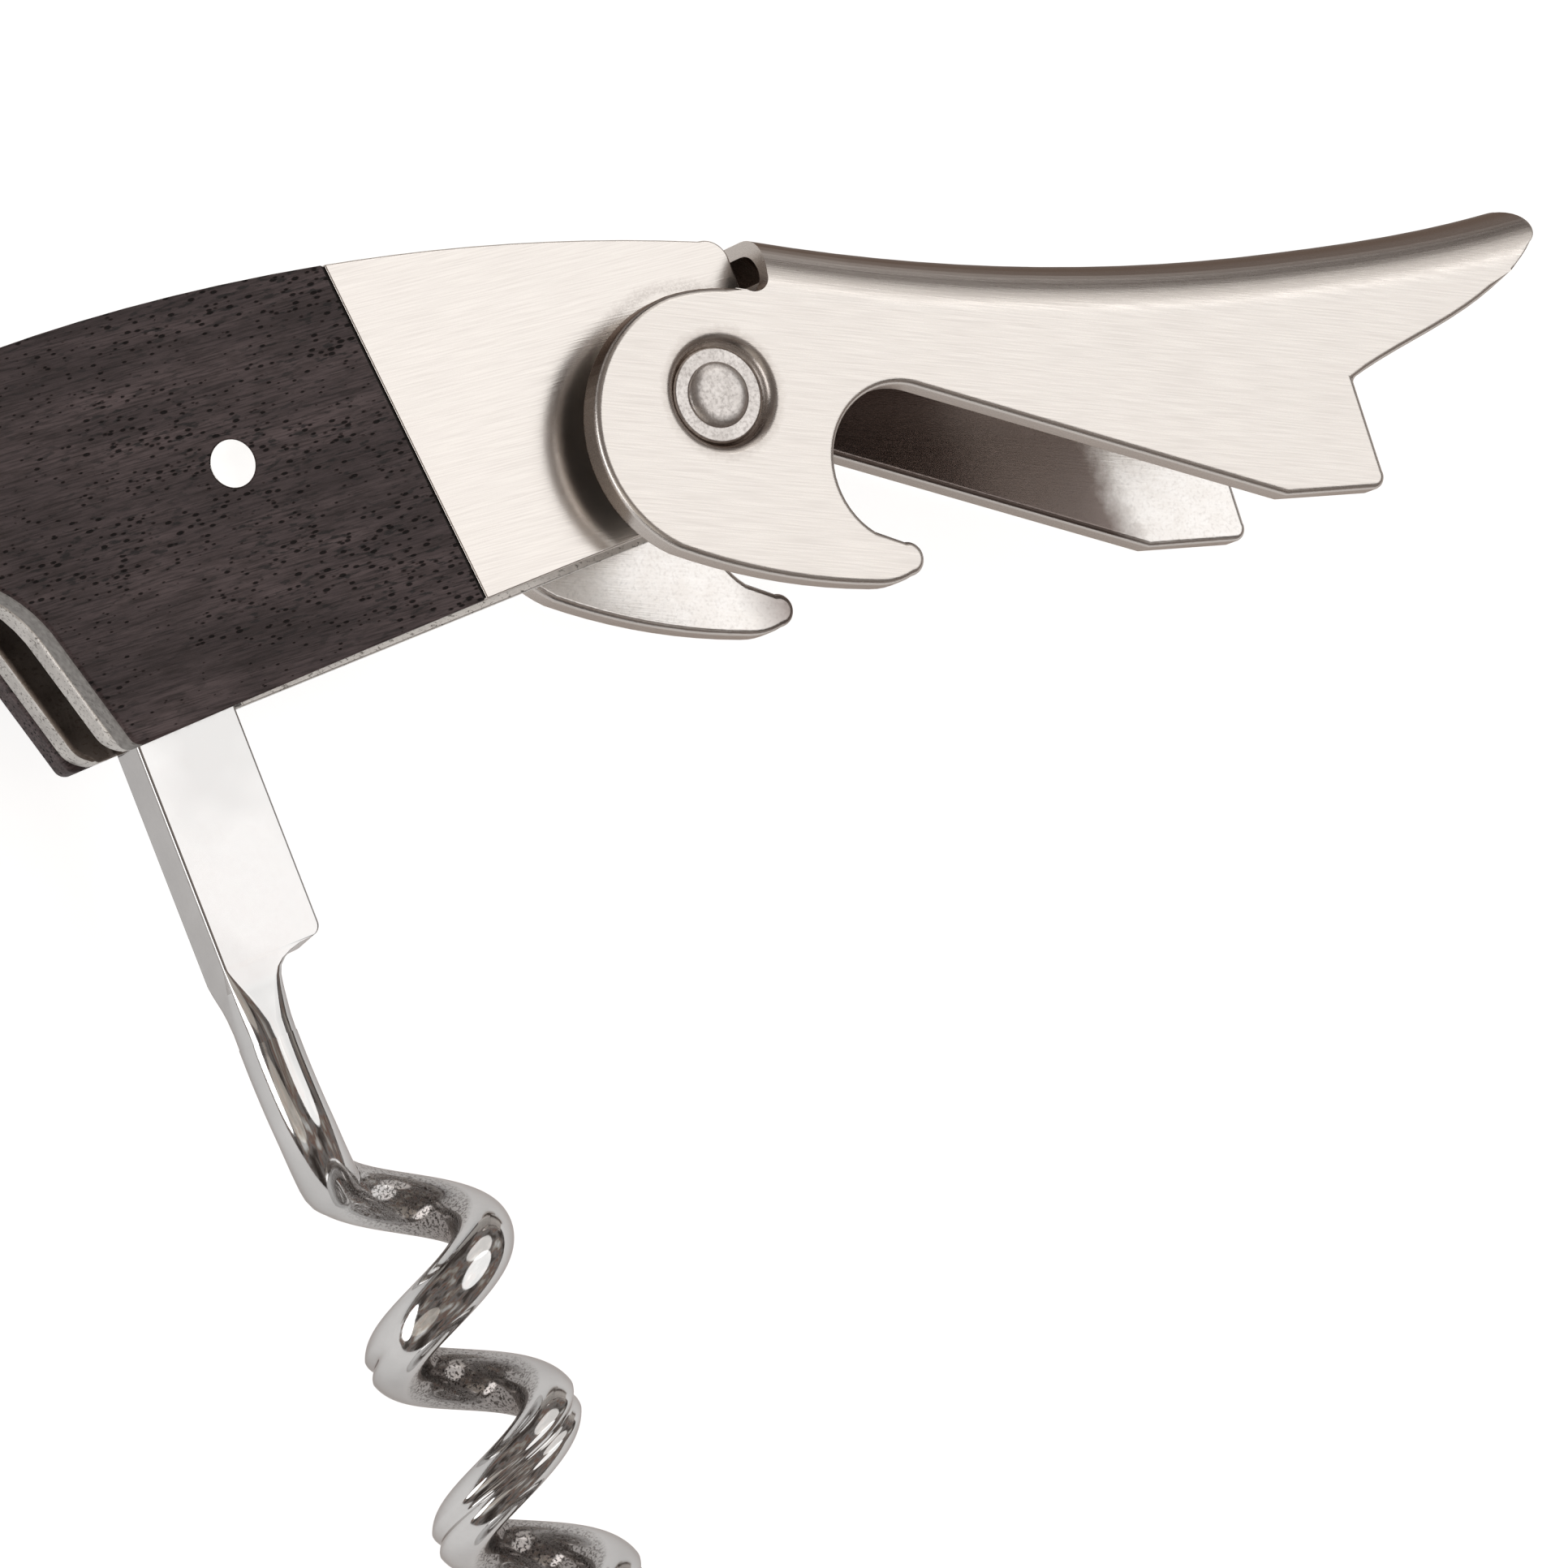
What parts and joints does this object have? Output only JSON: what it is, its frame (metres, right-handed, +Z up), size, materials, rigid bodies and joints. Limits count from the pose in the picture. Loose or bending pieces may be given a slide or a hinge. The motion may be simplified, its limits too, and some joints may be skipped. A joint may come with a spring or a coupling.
{
  "type": "waiters corkscrew",
  "caption": "Folding waiter's corkscrew: wood and steel handle, right-hand worm, foil knife, and a channel lever with a cap-lifter hook and a fishtail lip notch.",
  "frame": {"origin": "centre of the bounding box at its bottom face, the plane that the part lies on", "axes": "+X along the handle's underside towards the lever, +Y away from the open worm, which points along -Y, +Z up through the handle's thickness"},
  "size_m": [0.1661, 0.0844, 0.016],
  "materials": {
    "wood": "oiled satin, open pores",
    "brushed_steel": "fine brushed",
    "liner_steel": "stamped, lightly brushed",
    "polished_steel": "mirror polished",
    "blade_steel": "satin with a ground edge"
  },
  "bodies": {
    "handle": {"liner_front": "liner_steel", "liner_back": "liner_steel", "scale_front": "wood", "scale_back": "wood", "bolster_front": "brushed_steel", "bolster_back": "brushed_steel", "rear_bolster_front": "brushed_steel", "rear_bolster_back": "brushed_steel", "backspring": "liner_steel", "front_spacer": "liner_steel", "scale_pins": "polished_steel", "spring_pins": "liner_steel", "worm_pin": "liner_steel", "knife_pin": "polished_steel", "lever_rivet": "polished_steel", "rivet_washer_front": "polished_steel", "rivet_washer_back": "polished_steel"},
    "worm": {"worm": "polished_steel"},
    "knife": {"knife": "blade_steel"},
    "lever": {"lever": "brushed_steel"}
  },
  "joints": [
    {"name": "worm_hinge", "type": "hinge", "parent": "handle", "child": "worm", "pos_m": [0.00323, 0.02962, 0.008], "axis": [0, 0, 1], "range_deg": [-88, 0]},
    {"name": "lever_hinge", "type": "hinge", "parent": "handle", "child": "lever", "pos_m": [0.03377, 0.02812, 0.008], "axis": [0, 0, 1], "range_deg": [-108, 0]},
    {"name": "knife_hinge", "type": "hinge", "parent": "handle", "child": "knife", "pos_m": [-0.07583, 0.03012, 0.008], "axis": [0, 0, 1], "range_deg": [-180, 0]}
  ]
}
